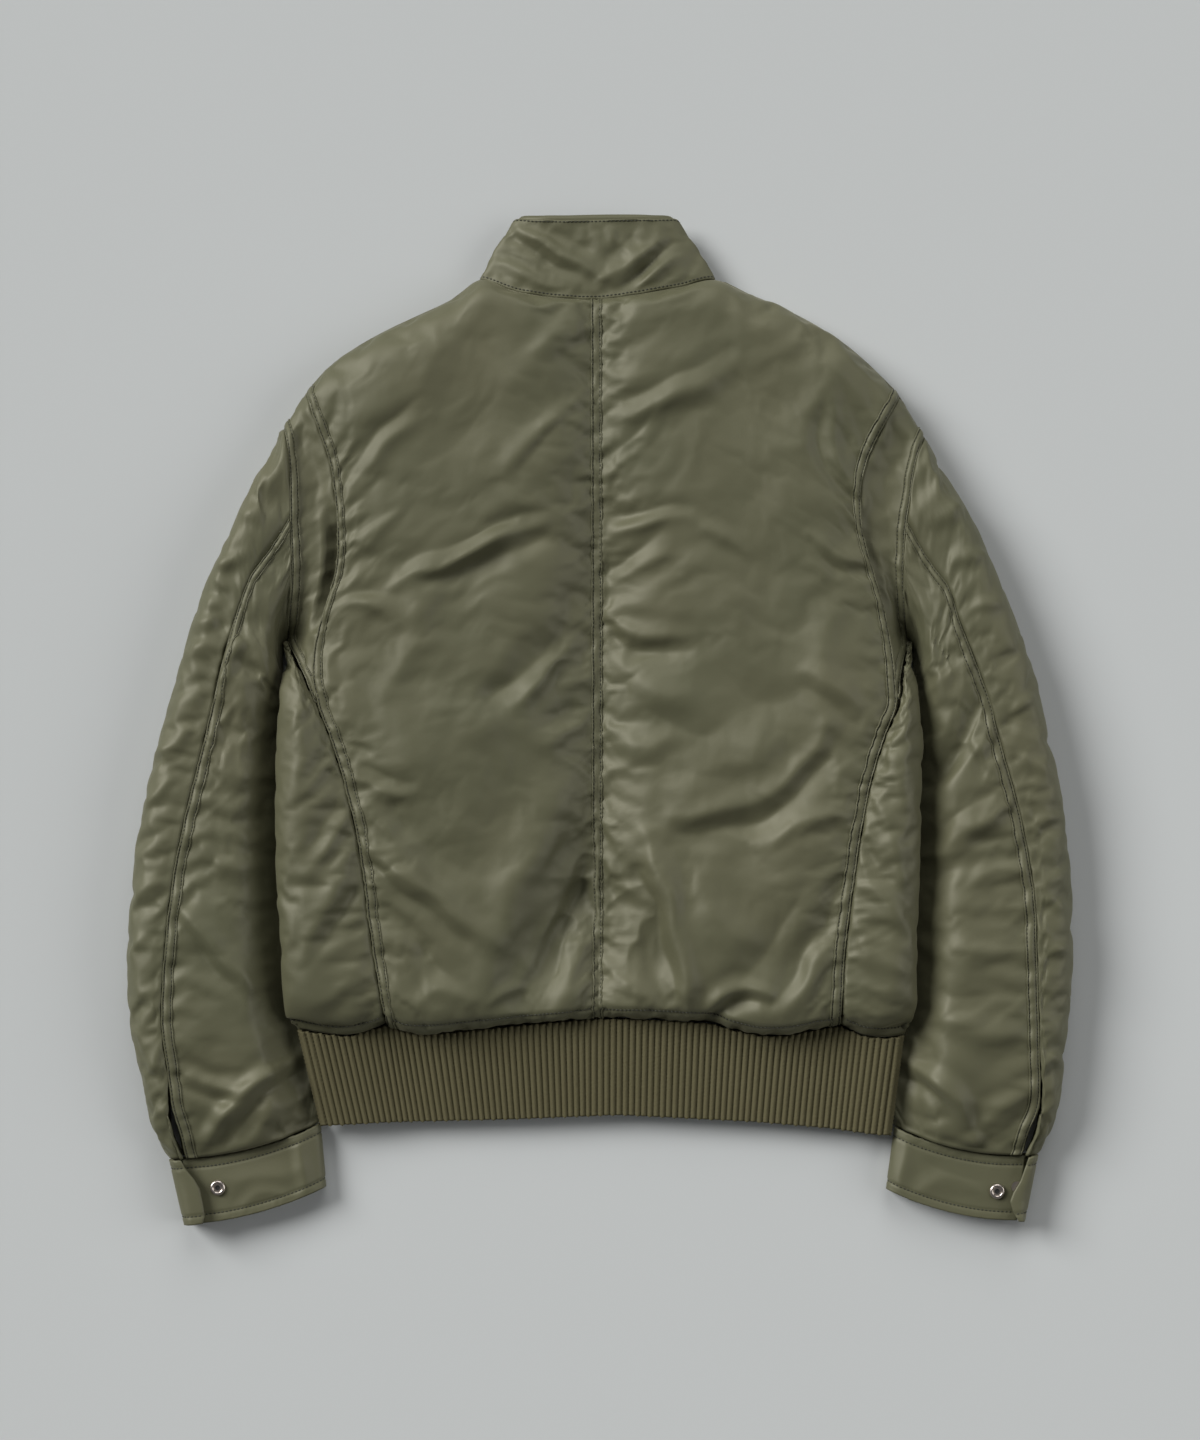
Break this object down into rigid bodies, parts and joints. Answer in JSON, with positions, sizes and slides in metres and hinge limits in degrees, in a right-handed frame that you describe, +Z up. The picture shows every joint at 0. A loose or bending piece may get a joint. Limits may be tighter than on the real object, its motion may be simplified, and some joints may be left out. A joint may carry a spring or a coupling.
{
  "type": "bomber jacket",
  "caption": "Padded nylon bomber jacket laid flat on its front, with stand collar, action-back gussets, knitted waist rib and snap cuffs.",
  "frame": {"origin": "centre of the laid garment's outline, on the surface it lies on", "axes": "+Y toward the collar, +Z up out of the back, -X the wearer's left"},
  "size_m": [0.776, 0.8305, 0.058],
  "materials": {
    "nylon": "satin flight nylon, olive",
    "knit": "ribbed knit, olive brown",
    "tape": "woven zip tape",
    "nickel": "pale nickel",
    "brass": "aged brass"
  },
  "bodies": {
    "root": {"back_left": "nylon", "back_right": "nylon", "gusset_left": "nylon", "gusset_right": "nylon", "side_panel_left": "nylon", "side_panel_right": "nylon", "front_left": "nylon", "front_right": "nylon", "sleeve_top_left": "nylon", "sleeve_top_right": "nylon", "sleeve_under_left": "nylon", "sleeve_under_right": "nylon", "cuff_left": "nylon", "cuff_right": "nylon", "collar": "nylon", "collar_binding": "nylon", "waist_rib": "knit", "snap_left": "nickel", "snap_right": "nickel", "snap_mate_left": "nickel", "snap_mate_right": "nickel", "zip_chain": "brass", "zip_slider": "brass", "zip_tape_left": "tape", "zip_tape_right": "tape"}
  },
  "joints": []
}
